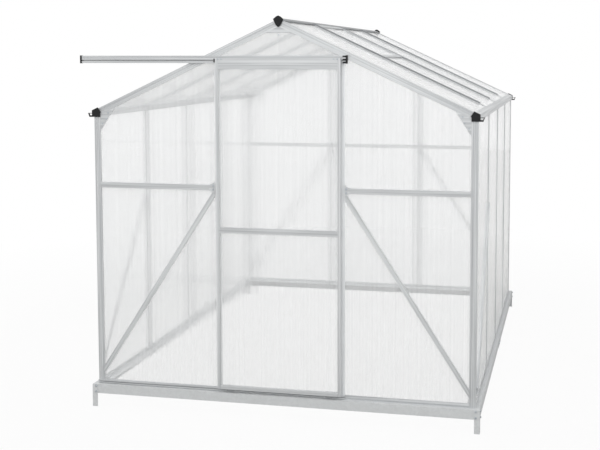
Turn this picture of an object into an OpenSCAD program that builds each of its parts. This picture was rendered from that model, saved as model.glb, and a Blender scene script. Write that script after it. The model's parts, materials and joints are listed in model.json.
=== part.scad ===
// Aluminium greenhouse with twin-wall polycarbonate sheets, a sliding door and a steel base.
// Millimetres. +Z is up, the door is on the -Y side, the origin is on the floor under the middle.
// In a wall, depth counts inwards from the outer faces of the posts, so what stands proud is negative.

/* [House] */
// Width over the outer faces of the corner posts
house_w = 1850; // [1600:10:2300]
// Length over the outer faces of the corner posts
house_l = 2500; // [1900:10:3600]
// Height from the top of the base to where the roof plane meets the post faces
wall_h = 1343; // [1150:1:1700]
// Pitch of the roof in degrees
roof_pitch = 25; // [20:0.5:32]
// Bays along each side
side_bays = 4; // [3:1:6]
// Width of the door bay between the centres of the door posts
door_bay = 600; // [540:1:700]

/* [Base] */
// How far the stakes reach below the base
stake_drop = 66; // [40:1:200]
// Height of the base channel
base_h = 45; // [40:1:120]
// Width of the channel's top flange
base_top_flange = 64; // [58:1:90]
// Width of the channel's bottom flange
base_bottom_flange = 18; // [8:1:40]
// Thickness of the base steel
steel_t = 2; // [1:0.1:3]
// How far the base stands out before the front and back posts
base_end_out = 28; // [26:1:40]
// How far the base stands out beside the side posts
base_side_out = 20; // [12:1:40]
// Leg of the angle stakes
stake_leg = 26; // [20:1:40]
// Length of the splice plates on the long sides
splice_l = 84; // [60:1:160]

/* [Glazing and bars] */
// Thickness of a twin-wall sheet
sheet_t = 4; // [3:0.5:6]
// Wall thickness of the aluminium bars
bar_t = 2; // [1.4:0.1:2.6]
// Face width of a glazing bar
bar_face = 28; // [24:1:40]
// Width of a glazing bar's neck between two sheets
bar_neck = 6; // [4:0.5:8]
// Width of the bolt channel on the inside of a glazing bar
channel_w = 18; // [15:1:22]
// Depth of the bolt channel
channel_d = 12; // [9:1:16]
// Mouth of the bolt channel
channel_mouth = 8; // [6:0.5:9]
// Face width of a corner bar, as used on corner posts and end rafters
corner_face = 31; // [28:1:40]
// Width of the square tube inside a corner bar
corner_tube = 17; // [14:1:18]
// Width of the web between a corner bar's faces and its tube
corner_web = 5; // [4:0.5:7]
// Width of the drawn grooves along the faces of the bars
groove_w = 4; // [1:0.25:5]
// Depth of the drawn grooves
groove_d = 1.3; // [0.3:0.05:1.5]
// Height of the sills
sill_h = 20; // [16:1:30]
// Thickness of a sill's floor under its sheet
sill_floor = 3.5; // [2.5:0.5:5]
// Width of a sill's foot
sill_foot = 24; // [20:1:26]

/* [Rails and braces] */
// Height of the mid rails' centre line above the base
rail_z = 983; // [800:1:1100]
// Face width of the mid rails
rail_face = 25; // [20:1:40]
// Face width of the braces
brace_face = 20; // [16:1:30]
// How far rails and braces stand proud of the posts
rail_proud = 8; // [5:0.5:8.5]
// Height of a brace's lower end above the sill
brace_foot = 48; // [30:1:120]
// Height of the side braces' upper end above the base
side_brace_top = 850; // [600:1:1000]
// Height of the bracket at a rail's end
bracket_h = 54; // [42:1:80]
// Length of the bracket along the rail
bracket_l = 27; // [20:1:50]
// Length of an eave gusset's legs
eave_gusset = 80; // [50:1:140]
// Width of a ridge gusset's lower edge
ridge_gusset = 123; // [80:1:200]
// Thickness of brackets and gussets
plate_t = 1.7; // [1:0.1:1.8]

/* [Roof] */
// How far the gutter's body stands out beside the posts
gutter_out = 6; // [3:0.5:12]
// Width of the gutter's sloped top
gutter_top = 28; // [20:0.5:34]
// How far the gutter's foot lies below the roof plane at the posts
gutter_drop = 29; // [27:0.5:40]
// Width of the loop that a gutter's end cap has outside the gutter
hook_w = 13; // [10:0.5:24]
// Height of that loop
hook_h = 16; // [10:0.5:22]
// How far the loop leans out
hook_lean = 7; // [3:0.5:10]
// Width of the ridge beam
ridge_w = 44; // [34:1:60]
// Height of the ridge beam's skirts
ridge_skirt = 4.5; // [3.5:0.5:14]
// Width of the ridge beam's web
ridge_web = 8; // [6:0.5:12]
// Depth of the ridge beam's web below the roof's apex
ridge_drop = 30; // [26:1:31]
// Height of the ridge cap's tip above the roof's apex
shield_tip = 15.5; // [10:0.5:24]
// Depth of the ridge cap's lower tip below the roof's apex
shield_drop = 37; // [34:0.5:60]
// Thickness of the black end caps
cap_t = 7; // [4:0.5:9]
// How far an end cap stands over the section that it closes
cap_over = 3; // [0.5:0.25:4]
// How far a gutter's end cap reaches in over the rafter
cap_tip = 7; // [3:0.5:10]
// Thickness of the loop's rim
loop_t = 4.5; // [3:0.25:5]
// Length of the roof window along the slope
vent_l = 420; // [300:5:600]
// Face width of the roof window's frame
vent_face = 22; // [16:1:34]
// How far the roof window stands over the glazing bars
vent_proud = 4; // [3:0.5:8]

/* [Door] */
// Width of the door
door_w = 600; // [540:1:660]
// How far the door travels to the left
door_travel = 600; // [450:5:640]
// Height of the door's lower edge above the base
door_lift = 18; // [16:1:40]
// Thickness of the door's frame
door_t = 14; // [11:0.5:15]
// Running gap between the track and the door
door_gap = 5; // [5:0.5:7]
// Face width of the door's stiles
stile_face = 14; // [13:0.5:30]
// Face width of the door's top rail
top_rail_face = 52; // [44:1:80]
// Face width of the door's mid rail
mid_rail_face = 26; // [20:1:50]
// Face width of the door's bottom rail
bottom_rail_face = 19; // [18:1:60]
// Height of the door's mid rail above the base
door_mid_z = 785; // [500:1:1000]
// How far the door's top lies above the track's foot
door_over_track = 25; // [23:0.5:27]
// Height of the door track
track_h = 35; // [33:0.5:40]
// Depth of the door track
track_d = 12; // [11:0.5:14]
// Spare length of the track past the open door
track_spare = 79; // [60:1:120]
// Length of the track past the closed door's right edge
track_right = 20; // [18:1:60]
// Height of the slot that the hangers run in
slot_h = 5; // [4:0.25:6]
// Height of the slot's centre above the track's foot
slot_z = 12.5; // [11.5:0.25:14]
// Thickness of the track's end caps
track_cap_t = 8; // [5:0.5:12]
// Length of the tongues over the track's right end
tongue_l = 14; // [8:0.5:16]
// Length of a hanger
hanger_l = 60; // [40:1:90]
// How far the left hanger reaches ahead of the door
hanger_lead = 11; // [6:1:50]
// Height of a hanger's plate
hanger_h = 17; // [12:0.5:20]
// Distance of a hanger from the door's edge
hanger_inset = 10; // [4:1:60]
// Length of a guide shoe
shoe_l = 36; // [24:1:70]
// Distance of a guide shoe from the door's edge
shoe_inset = 40; // [20:1:90]
// Thickness of the nylon plates on the door's back
nylon_t = 4; // [3:0.25:4.5]
// Depth of the slots in the door's frame
door_slot_d = 6; // [5:0.5:8]
// Depth of the bottom guide rail
guide_d = 8; // [6:0.5:8]

/* [Fits] */
// Gap on each face of a sheet in its slot
sheet_fit = 0.3; // [0.1:0.05:0.5]
// Gap between the ends of pieces that butt
butt_fit = 0.3; // [0.1:0.05:0.5]
// Gap between a sheet's edge and the bottom of its slot
edge_fit = 1; // [0.5:0.1:1.5]
// Running gap of the hangers and shoes in their slots
run_fit = 0.4; // [0.2:0.05:0.6]

/* [Hidden] */

half_w = house_w / 2;
half_l = house_l / 2;
base_z = stake_drop + base_h;
eave_z = base_z + wall_h;
pitch_cos = cos(roof_pitch);
pitch_sin = sin(roof_pitch);
pitch_tan = tan(roof_pitch);
apex_z = eave_z + half_w * pitch_tan;
slope_l = half_w / pitch_cos;
far = 2 * (house_w + house_l);

// Depths of the slot, of the sheet in it and of the bolt channel behind it
slot_in = bar_t;
slot_out = bar_t + sheet_t + 2 * sheet_fit;
sheet_in = bar_t + sheet_fit;
channel_back = slot_out + channel_d;
corner_root = slot_out + corner_web;
tube_out = slot_out + corner_tube;

// Lines that the bars and sheets keep to
bar_edge = bar_face / 2 + butt_fit;
neck_edge = bar_neck / 2 + edge_fit;
corner_edge = corner_face + butt_fit;
corner_sheet = corner_root + edge_fit;
door_post_x = door_bay / 2;
bay_l = house_l / side_bays;
sheet_foot = base_z + sill_floor + edge_fit;
sill_top = base_z + sill_h;
rail_mid = base_z + rail_z;

// Gutter section, relative to the roof plane at the post faces
gutter_a = [gutter_out, -gutter_out * pitch_tan];
gutter_b = gutter_a + gutter_top * [-pitch_cos, pitch_sin];
seat_d = channel_back + bar_t;
gutter_c = gutter_b + seat_d * [-pitch_sin, -pitch_cos];
gutter_foot = eave_z - gutter_drop;
roof_foot = gutter_top - gutter_out / pitch_cos + butt_fit;
gutter_clear = -gutter_c[0] + edge_fit;

// Door gear: the header ends just below the rafters at the door posts
header_top = rafter_foot_z(door_post_x - bar_face / 2) - edge_fit;
header_z = header_top - sill_h;
track_top = header_top;
track_z = track_top - track_h;
track_x0 = -(door_w / 2 + door_travel + track_spare);
track_x1 = door_w / 2 + track_right;
track_wall = bar_t;
door_back = -track_d - door_gap;
door_front = door_back - door_t;
door_z0 = base_z + door_lift;
door_z1 = track_z + door_over_track;
door_mid = base_z + door_mid_z;
door_skin = (door_t - sheet_t - 2 * sheet_fit) / 2;
door_sheet_in = door_front + door_skin + sheet_fit;
guide_z0 = base_z + bar_t;
guide_z1 = sill_top - bar_t;
guide_mid = (guide_z0 + guide_z1) / 2;
hanger_x = door_w / 2 - hanger_l / 2 - hanger_inset;
shoe_x = door_w / 2 - shoe_l / 2 - shoe_inset;

aluminium = [0.75, 0.76, 0.77];
dark_aluminium = [0.6, 0.61, 0.62];
steel = [0.68, 0.7, 0.71];
clear_sheet = [0.93, 0.94, 0.95, 0.6];
black_nylon = [0.12, 0.12, 0.13];
grey_nylon = [0.6, 0.61, 0.62];

// Height of the roof plane, and of the lower edge of an end rafter's face, at a distance from the middle
function roof_z(x) = apex_z - abs(x) * pitch_tan;
function rafter_foot_z(x) = roof_z(x) - (corner_face + butt_fit) / pitch_cos;
function sheet_top_z(x) = roof_z(x) - corner_sheet / pitch_cos;

// Outline helpers
function mirrored(points) = [for (i = [len(points) - 1 : -1 : 0]) [-points[i][0], points[i][1]]];
function both_halves(points) = concat(points, mirrored(points));

// Grooves that the die draws along a face, at the given distances from its corner
function grooves(places) =
    [for (at = places) for (step = [-1 : 1]) [at + step * groove_w / 2, step == 0 ? groove_d : 0]];
function swapped(points) = [for (i = [len(points) - 1 : -1 : 0]) [points[i][1], points[i][0]]];

// Section of a glazing bar: grooved face, neck between two sheets, bolt channel
function bar_section() =
    let (face = bar_face / 2, neck = bar_neck / 2, side = channel_w / 2, mouth = channel_mouth / 2)
    both_halves(concat(grooves([face / 2]), [
        [face, 0], [face, bar_t], [neck, bar_t], [neck, slot_out], [side, slot_out],
        [side, channel_back], [mouth, channel_back], [mouth, channel_back - bar_t],
        [side - bar_t, channel_back - bar_t], [side - bar_t, slot_out + bar_t]
    ]));

// Section of a corner bar: two grooved faces at right angles, a slot for a sheet behind each, a square tube
function corner_section() =
    let (lines = grooves([corner_face / 3, corner_face * 2 / 3]))
    concat([[0, 0]], lines, [
        [corner_face, 0], [corner_face, bar_t], [corner_root, bar_t], [corner_root, slot_out],
        [tube_out, slot_out], [tube_out, tube_out], [slot_out, tube_out], [slot_out, corner_root],
        [bar_t, corner_root], [bar_t, corner_face], [0, corner_face]
    ], swapped(lines));

// Section of a sill: outer wall, slot for a sheet, inner wall, foot
function sill_section() = [
    [0, 0], [sill_foot, 0], [sill_foot, bar_t], [slot_out + bar_t, bar_t],
    [slot_out + bar_t, sill_h - 2 * bar_t], [slot_out, sill_h - 2 * bar_t], [slot_out, sill_floor],
    [slot_in, sill_floor], [slot_in, sill_h], [0, sill_h]
];

// Section of a gutter: body with a sloped top
function gutter_section() = [
    gutter_a, gutter_b, gutter_c, [gutter_c[0], -gutter_drop], [gutter_out, -gutter_drop]
];

// Outline of a gutter's end cap, with its inner tip and the loop outside it, and the hole in that loop
function gutter_cap() =
    let (edge = gutter_out + cap_over, foot = -gutter_drop - cap_over, inner = gutter_c[0] - cap_over)
    [
        gutter_a + cap_over * [1, 1], gutter_b + cap_over * [0, 1.5], gutter_c - [cap_tip, 0],
        [inner, gutter_c[1] - cap_tip / 2], [inner, foot], [edge + hook_w, foot],
        [edge + hook_w + hook_lean, -gutter_drop + hook_h], [edge, -gutter_drop + hook_h]
    ];

function loop_hole() =
    let (edge = gutter_out + cap_over, low = -gutter_drop + loop_t,
         high = -gutter_drop + hook_h - loop_t * 0.55,
         lean = hook_lean / (hook_h + cap_over), side = edge + hook_w - loop_t + cap_over * lean)
    [
        [edge, low], [side + lean * loop_t, low], [side + lean * (high + gutter_drop), high], [edge, high]
    ];

// Hollow of the gutter's body
function gutter_hollow() =
    let (top = gutter_b + bar_t * [pitch_cos - pitch_sin, -pitch_sin - pitch_cos],
         inner = gutter_c[0] + bar_t,
         outer = gutter_out - bar_t,
         drop = (top[0] - inner) * pitch_cos / pitch_sin)
    [
        [outer, -outer * pitch_tan - bar_t / pitch_cos], top, [inner, top[1] - drop],
        [inner, -gutter_drop + bar_t], [outer, -gutter_drop + bar_t]
    ];

// Section of the ridge beam: gabled top with turned-down skirts, web between the glazing bars
function ridge_section() =
    let (edge = ridge_w / 2, web = ridge_web / 2, foot = -edge * pitch_tan + butt_fit,
         inner = edge - bar_t, skin = bar_t / pitch_cos, top = foot + ridge_skirt)
    both_halves([
        [0, -ridge_drop], [web, -ridge_drop], [web, top + (edge - web) * pitch_tan - skin],
        [inner, top + bar_t * pitch_tan - skin], [inner, foot + bar_t * pitch_tan], [edge, foot],
        [edge, top], [0, top + edge * pitch_tan]
    ]);

// Shield that closes the end of the ridge beam
function ridge_shield() =
    let (edge = (ridge_w + cap_over) / 2)
    both_halves([
        [0, -shield_drop], [edge / 5, -shield_drop * 0.94], [edge / 2, -shield_drop * 0.74],
        [edge, -shield_drop * 0.08], [edge, 0], [edge * 0.4, shield_tip * 0.75], [0, shield_tip]
    ]);

// Section of the door track: a box that a slot opens to the front
function track_section() =
    let (low = slot_z - slot_h / 2, high = slot_z + slot_h / 2, w = track_wall, d = track_d)
    [
        [0, 0], [0, track_h], [-d, track_h], [-d, high], [w - d, high], [w - d, track_h - w],
        [-w, track_h - w], [-w, w], [w - d, w], [w - d, low], [-d, low], [-d, 0]
    ];

// Section of the bottom guide rail, the same form at a smaller size
function guide_section() =
    let (top = guide_z1 - guide_z0, low = top / 2 - slot_h / 2, high = top / 2 + slot_h / 2,
         w = bar_t * 0.75, d = guide_d)
    [
        [0, 0], [0, top], [-d, top], [-d, high], [w - d, high], [w - d, top - w], [-w, top - w],
        [-w, w], [w - d, w], [w - d, low], [-d, low], [-d, 0]
    ];

// Plate in the front wall, drawn in X and Z, from one depth to another
module front_plate(from, to) {
    translate([0, -half_l + to, 0]) rotate([90, 0, 0]) linear_extrude(to - from) children();
}

// Plate in the left wall, drawn in Y and Z
module left_plate(from, to) {
    translate([-half_w + from, 0, 0]) rotate([90, 0, 90]) linear_extrude(to - from) children();
}

// Section drawn in depth and height, run along X on the front wall
module front_run(x0, x1, z) {
    translate([x0, -half_l, z]) rotate([90, 0, 90]) linear_extrude(x1 - x0) children();
}

// Section drawn in depth and height, run along Y on the left wall
module left_run(y0, y1, z) {
    translate([-half_w, y1, z]) rotate([90, 0, 0]) linear_extrude(y1 - y0) children();
}

// On the back wall, on the right wall, and on both sides of the middle
module at_back() {
    mirror([0, 1, 0]) children();
}

module at_right() {
    mirror([1, 0, 0]) children();
}

module both_sides() {
    children();
    at_right() children();
}

module both_ends() {
    children();
    at_back() children();
}

// Local frame of the right slope: X along the house, Y into the roof, Z up the slope from the eave
module on_slope(y) {
    translate([half_w, y, eave_z]) rotate([0, roof_pitch - 90, 0]) rotate([0, 0, 90]) children();
}

// What lies on the right slope ends at the ridge beam's web
module right_of_ridge() {
    intersection() {
        children();
        translate([ridge_web / 2 + butt_fit, -far / 2, 0]) cube([far, far, far]);
    }
}

// What stands in a gable wall ends below the end rafters
module below_rafters() {
    intersection() {
        children();
        translate([0, half_l + far / 2, 0]) rotate([90, 0, 0]) linear_extrude(house_l + far)
            polygon([
                [-half_w, 0], [half_w, 0], [half_w, rafter_foot_z(half_w)],
                [0, rafter_foot_z(0)], [-half_w, rafter_foot_z(half_w)]
            ]);
    }
}

// Channel of the base along X at the front, mitred to the side channels
module base_end() {
    reach = half_l + base_end_out;
    wide = half_w + base_side_out;
    intersection() {
        translate([-wide, -reach, stake_drop]) rotate([90, 0, 90]) linear_extrude(2 * wide)
            base_section();
        linear_extrude(far) polygon([
            [-wide, -reach], [wide, -reach], [wide - base_top_flange, -reach + base_top_flange],
            [-wide + base_top_flange, -reach + base_top_flange]
        ]);
    }
}

// Channel of the base along Y on the left, from the middle to the front corner
module base_side_half() {
    reach = half_l + base_end_out;
    wide = half_w + base_side_out;
    intersection() {
        translate([-wide, -butt_fit / 2, stake_drop]) rotate([90, 0, 0])
            linear_extrude(reach - butt_fit / 2) base_section();
        linear_extrude(far) polygon([
            [-wide, 0], [-wide, -reach], [-wide + base_top_flange, -reach + base_top_flange],
            [-wide + base_top_flange, 0]
        ]);
    }
}

module base_section() {
    polygon([
        [0, 0], [base_bottom_flange, 0], [base_bottom_flange, steel_t], [steel_t, steel_t],
        [steel_t, base_h - steel_t], [base_top_flange, base_h - steel_t], [base_top_flange, base_h],
        [0, base_h]
    ]);
}

module base_front() {
    color(steel) base_end();
}

module base_back() {
    color(steel) at_back() base_end();
}

module base_left() {
    color(steel) both_ends() base_side_half();
}

module base_right() {
    color(steel) at_right() both_ends() base_side_half();
}

// Plates over the joint in the middle of each long side
module base_splices() {
    color(steel) both_sides()
        translate([-half_w - base_side_out - steel_t, -splice_l / 2, stake_drop + steel_t])
            cube([steel_t, splice_l, base_h - 2 * steel_t]);
}

// Angle stakes outside the corners of the base
module corner_stakes() {
    color(steel) both_ends() both_sides()
        translate([-half_w - base_side_out - steel_t, -half_l - base_end_out - steel_t, 0])
            linear_extrude(base_z - steel_t) polygon([
                [0, 0], [stake_leg, 0], [stake_leg, steel_t], [steel_t, steel_t], [steel_t, stake_leg],
                [0, stake_leg]
            ]);
}

module front_sill(x0, x1) {
    front_run(x0, x1, base_z) polygon(sill_section());
}

module front_sills() {
    color(aluminium) both_sides() front_sill(-half_w + corner_edge, -door_post_x - bar_edge);
}

module back_sills() {
    color(aluminium) at_back() {
        both_sides() front_sill(-half_w + corner_edge, -door_post_x - bar_edge);
        front_sill(-door_post_x + bar_edge, door_post_x - bar_edge);
    }
}

module side_sills() {
    color(aluminium) both_sides() for (bay = [0 : side_bays - 1])
        left_run(bay_start(bay, corner_edge, bar_edge), bay_end(bay, corner_edge, bar_edge), base_z)
            polygon(sill_section());
}

// Ends of a side bay, less what the corner bar or the glazing bar there takes up
function bay_start(bay, at_corner, at_bar) = -half_l + bay * bay_l + (bay == 0 ? at_corner : at_bar);
function bay_end(bay, at_corner, at_bar) =
    -half_l + (bay + 1) * bay_l - (bay == side_bays - 1 ? at_corner : at_bar);

// Corner bar of a length, standing on its end
module corner_bar(length) {
    difference() {
        linear_extrude(length) polygon(corner_section());
        translate([slot_out + bar_t, slot_out + bar_t, -1])
            cube([corner_tube - 2 * bar_t, corner_tube - 2 * bar_t, length + 2]);
    }
}

module corner_posts() {
    color(aluminium) both_ends() both_sides()
        translate([-half_w, -half_l, base_z]) corner_bar(gutter_foot - base_z);
}

// Pair of posts in a gable wall, cut to the rafters
module gable_posts() {
    below_rafters() both_sides() translate([door_post_x, -half_l, base_z])
        linear_extrude(apex_z - base_z) polygon(bar_section());
}

module door_posts() {
    color(aluminium) gable_posts();
}

module back_posts() {
    color(aluminium) at_back() gable_posts();
}

module side_posts() {
    for (bay = [1 : side_bays - 1])
        translate([-half_w, -half_l + bay * bay_l, base_z]) rotate([0, 0, -90])
            linear_extrude(gutter_foot - base_z) polygon(bar_section());
}

module left_posts() {
    color(aluminium) side_posts();
}

module right_posts() {
    color(aluminium) at_right() side_posts();
}

// Shallow channel, open towards the sheets, of a face width, run along local X from the origin
module rail_channel(length, face) {
    rotate([90, 0, 90]) linear_extrude(length) polygon([
        [-rail_proud, -face / 2], [bar_t, -face / 2], [bar_t, bar_t - face / 2],
        [bar_t - rail_proud, bar_t - face / 2], [bar_t - rail_proud, face / 2 - bar_t],
        [bar_t, face / 2 - bar_t], [bar_t, face / 2], [-rail_proud, face / 2]
    ]);
}

module front_rail(x0, x1) {
    translate([x0, -half_l, rail_mid]) rail_channel(x1 - x0, rail_face);
}

module front_rails() {
    color(aluminium) both_sides() front_rail(-half_w + corner_edge, -door_post_x - bar_edge);
}

module back_rails() {
    color(aluminium) at_back() {
        both_sides() front_rail(-half_w + corner_edge, -door_post_x - bar_edge);
        front_rail(-door_post_x + bar_edge, door_post_x - bar_edge);
    }
}

// Flared plates over the rails' inner ends
module rail_brackets() {
    x = door_post_x + bar_edge;
    color(aluminium) both_ends() both_sides()
        front_plate(-rail_proud - plate_t, -rail_proud) polygon([
            [-x, rail_mid - bracket_h / 2], [-x, rail_mid + bracket_h / 2],
            [-x - bracket_l, rail_mid + rail_face / 2], [-x - bracket_l, rail_mid - rail_face / 2]
        ]);
}

// Brace between two points of a wall plane, cut off at the edges of its bay, with X along the wall
module brace(x0, z0, x1, z1, top) {
    run = [x1 - x0, z1 - z0];
    angle = atan2(run[1], run[0]);
    intersection() {
        translate([x0, 0, z0]) rotate([0, -angle, 0]) translate([-far / 20, 0, 0])
            rail_channel(norm(run) + far / 10, brace_face);
        translate([x0, -far / 2, sill_top + butt_fit]) cube([x1 - x0, far, top - sill_top - butt_fit]);
    }
}

// Brace of a gable wall, from the foot of the corner post to the end of the mid rail
module gable_brace() {
    top = rail_mid - rail_face / 2 - butt_fit;
    translate([0, -half_l, 0])
        brace(
            -half_w + corner_edge, sill_top + brace_foot, -door_post_x - bar_edge, top - brace_face / 2, top
        );
}

module front_braces() {
    color(aluminium) both_sides() gable_brace();
}

module back_braces() {
    color(aluminium) at_back() both_sides() gable_brace();
}

// Brace of the first bay of each long side
module side_braces() {
    top = base_z + side_brace_top;
    color(aluminium) both_sides() translate([-half_w, 0, 0]) rotate([0, 0, -90])
        brace(
            half_l - bay_l + bar_edge, top, half_l - corner_edge, sill_top + brace_foot, top + brace_face
        );
}

module gutter() {
    translate([half_w, half_l, eave_z]) rotate([90, 0, 0]) difference() {
        linear_extrude(house_l) polygon(gutter_section());
        translate([0, 0, -1]) linear_extrude(house_l + 2) polygon(gutter_hollow());
    }
}

module left_gutter() {
    color(aluminium) at_right() gutter();
}

module right_gutter() {
    color(aluminium) gutter();
}

module ridge_beam() {
    color(dark_aluminium) translate([0, half_l, apex_z]) rotate([90, 0, 0])
        linear_extrude(house_l) polygon(ridge_section());
}

// Black caps on the ends of the gutters and of the ridge beam
module end_caps() {
    color(black_nylon) both_ends() {
        front_plate(-cap_t, 0) translate([0, apex_z]) polygon(ridge_shield());
        both_sides() difference() {
            front_plate(-cap_t, 0) translate([half_w, eave_z]) polygon(gutter_cap());
            front_plate(-cap_t - 1, 1) translate([half_w, eave_z]) polygon(loop_hole());
        }
    }
}

module rafter_pair() {
    both_sides() right_of_ridge() on_slope(-half_l) translate([0, 0, roof_foot])
        corner_bar(slope_l);
}

module front_rafters() {
    color(aluminium) rafter_pair();
}

module back_rafters() {
    color(aluminium) at_back() rafter_pair();
}

module slope_bars() {
    right_of_ridge() for (bay = [1 : side_bays - 1])
        on_slope(-half_l + bay * bay_l) translate([0, 0, roof_foot])
            linear_extrude(slope_l) polygon(bar_section());
}

module left_roof_bars() {
    color(dark_aluminium) at_right() slope_bars();
}

module right_roof_bars() {
    color(dark_aluminium) slope_bars();
}

// Triangular plates in the corners of the gable frames, flush with the faces of the bars
module gussets() {
    corner = [half_w - corner_edge, rafter_foot_z(half_w - corner_edge)];
    color(aluminium) both_ends() front_plate(bar_t - plate_t, bar_t) {
        for (side = [0, 1]) mirror([side, 0]) polygon([
            corner, corner - [0, eave_gusset], corner + eave_gusset * [-pitch_cos, pitch_sin]
        ]);
        polygon([
            [0, rafter_foot_z(0)], [-ridge_gusset / 2, rafter_foot_z(ridge_gusset / 2)],
            [ridge_gusset / 2, rafter_foot_z(ridge_gusset / 2)]
        ]);
    }
}

// Sheet beside the door, cut out round the gutter and along the rafter
module gable_side_sheet() {
    inner = door_post_x + neck_edge;
    outer = half_w - corner_sheet;
    step = half_w - gutter_clear;
    front_plate(sheet_in, sheet_in + sheet_t) polygon([
        [inner, sheet_foot], [outer, sheet_foot], [outer, gutter_foot - butt_fit],
        [step, gutter_foot - butt_fit], [step, sheet_top_z(step)], [inner, sheet_top_z(inner)]
    ]);
}

// Sheet between the two middle posts, from a height up to the ridge beam
module gable_middle_sheet(foot) {
    side = door_post_x - neck_edge;
    top = apex_z - ridge_drop - edge_fit;
    flat = (apex_z - corner_sheet / pitch_cos - top) / pitch_tan;
    front_plate(sheet_in, sheet_in + sheet_t) polygon([
        [-side, foot], [side, foot], [side, sheet_top_z(side)], [flat, top], [-flat, top],
        [-side, sheet_top_z(side)]
    ]);
}

module front_sheets() {
    color(clear_sheet) {
        both_sides() gable_side_sheet();
        gable_middle_sheet(header_z + sill_floor + edge_fit);
    }
}

module back_sheets() {
    color(clear_sheet) at_back() {
        both_sides() gable_side_sheet();
        gable_middle_sheet(sheet_foot);
    }
}

module side_wall_sheets() {
    for (bay = [0 : side_bays - 1]) {
        start = bay_start(bay, corner_sheet, neck_edge);
        left_plate(sheet_in, sheet_in + sheet_t) translate([start, sheet_foot])
            square([bay_end(bay, corner_sheet, neck_edge) - start, gutter_foot - butt_fit - sheet_foot]);
    }
}

module left_sheets() {
    color(clear_sheet) side_wall_sheets();
}

module right_sheets() {
    color(clear_sheet) at_right() side_wall_sheets();
}

// Sheets of a slope: the one below the roof window is shorter
vent_bay = 1;
vent_foot = slope_l - vent_l;
module slope_sheets(has_vent) {
    right_of_ridge() for (bay = [0 : side_bays - 1]) {
        start = bay_start(bay, corner_sheet, neck_edge);
        width = bay_end(bay, corner_sheet, neck_edge) - start;
        length = has_vent && bay == vent_bay ? vent_foot - roof_foot - edge_fit : slope_l;
        on_slope(start) translate([0, sheet_in, roof_foot]) cube([width, sheet_t, length]);
    }
}

module left_roof_sheets() {
    color(clear_sheet) at_right() slope_sheets(false);
}

module right_roof_sheets() {
    color(clear_sheet) slope_sheets(true);
}

// Frame of the roof window, on the bars beside it, and the sill bar under its lower edge
vent_y0 = -half_l + vent_bay * bay_l + bar_edge;
vent_w = bay_l - 2 * bar_edge;
vent_top = slope_l - ridge_w / 2 / pitch_cos - butt_fit;
vent_back = slot_out + bar_t;
module roof_window_frame() {
    inner = vent_w - 2 * vent_face;
    color(aluminium) {
        difference() {
            on_slope(vent_y0) translate([0, -vent_proud, vent_foot])
                cube([vent_w, vent_proud + vent_back, vent_top - vent_foot]);
            on_slope(vent_y0 + vent_face) translate([0, -far / 2, vent_foot + vent_face])
                cube([inner, far, vent_top - vent_foot - 2 * vent_face]);
            on_slope(vent_y0 + vent_face / 2) translate([0, sheet_in - sheet_fit, vent_foot + vent_face / 2])
                cube([vent_w - vent_face, sheet_t + 2 * sheet_fit, vent_top - vent_foot - vent_face]);
        }
        on_slope(vent_y0) translate([0, vent_back + butt_fit, vent_foot - vent_face])
            cube([vent_w, bar_t, 2 * vent_face]);
    }
}

module roof_window_sheet() {
    edge = vent_face / 2 + edge_fit;
    color(clear_sheet) on_slope(vent_y0 + edge) translate([0, sheet_in, vent_foot + edge])
        cube([vent_w - 2 * edge, sheet_t, vent_top - vent_foot - 2 * edge]);
}

module door_header() {
    color(aluminium) front_run(-door_post_x + bar_edge, door_post_x - bar_edge, header_z)
        polygon(sill_section());
}

module door_track() {
    color(aluminium) front_run(track_x0, track_x1, track_z) polygon(track_section());
}

// End caps of the track: a plate at each end, with three tongues over the right end
module track_caps() {
    tongue_h = track_h / 5;
    color(black_nylon) {
        front_run(track_x0 - track_cap_t, track_x0, track_z) track_cap();
        front_run(track_x1, track_x1 + track_cap_t, track_z) track_cap();
        for (row = [0 : 2])
            front_run(track_x1 - tongue_l, track_x1, track_z + row * (track_h - tongue_h) / 2)
                translate([-track_d - bar_t, 0]) square([bar_t, tongue_h]);
    }
}

module track_cap() {
    translate([-track_d - bar_t, -cap_over / 2]) square([track_d + bar_t, track_h + cap_over]);
}

module door_guide_rail() {
    color(aluminium) front_run(-half_w, door_post_x + bar_face / 2, guide_z0) polygon(guide_section());
}

// Door stiles, slotted on their inner edges
module door_stiles() {
    color(aluminium) both_sides() difference() {
        front_plate(door_front, door_back) translate([-door_w / 2, door_z0])
            square([stile_face, door_z1 - door_z0]);
        door_slot(-door_w / 2 + stile_face - door_slot_d, -door_w / 2 + stile_face + 1, door_z0, door_z1);
    }
}

// Slot for the door's sheets
module door_slot(x0, x1, z0, z1) {
    front_plate(door_sheet_in - sheet_fit, door_sheet_in + sheet_t + sheet_fit) translate([x0, z0])
        square([x1 - x0, z1 - z0]);
}

// Door rails, slotted where the sheets enter
door_rail_x = door_w / 2 - stile_face - butt_fit;
module door_rail(z0, z1) {
    difference() {
        front_plate(door_front, door_back) translate([-door_rail_x, z0])
            square([2 * door_rail_x, z1 - z0]);
        children();
    }
}

module door_rails() {
    mid0 = door_mid - mid_rail_face / 2;
    mid1 = door_mid + mid_rail_face / 2;
    foot = door_z0 + bottom_rail_face;
    head = door_z1 - top_rail_face;
    color(aluminium) {
        door_rail(door_z0, foot) door_slot(-door_w, door_w, foot - door_slot_d, foot + 1);
        door_rail(mid0, mid1) {
            door_slot(-door_w, door_w, mid0 - 1, mid0 + door_slot_d);
            door_slot(-door_w, door_w, mid1 - door_slot_d, mid1 + 1);
        }
        door_rail(head, door_z1) door_slot(-door_w, door_w, head - 1, head + door_slot_d);
    }
}

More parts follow.
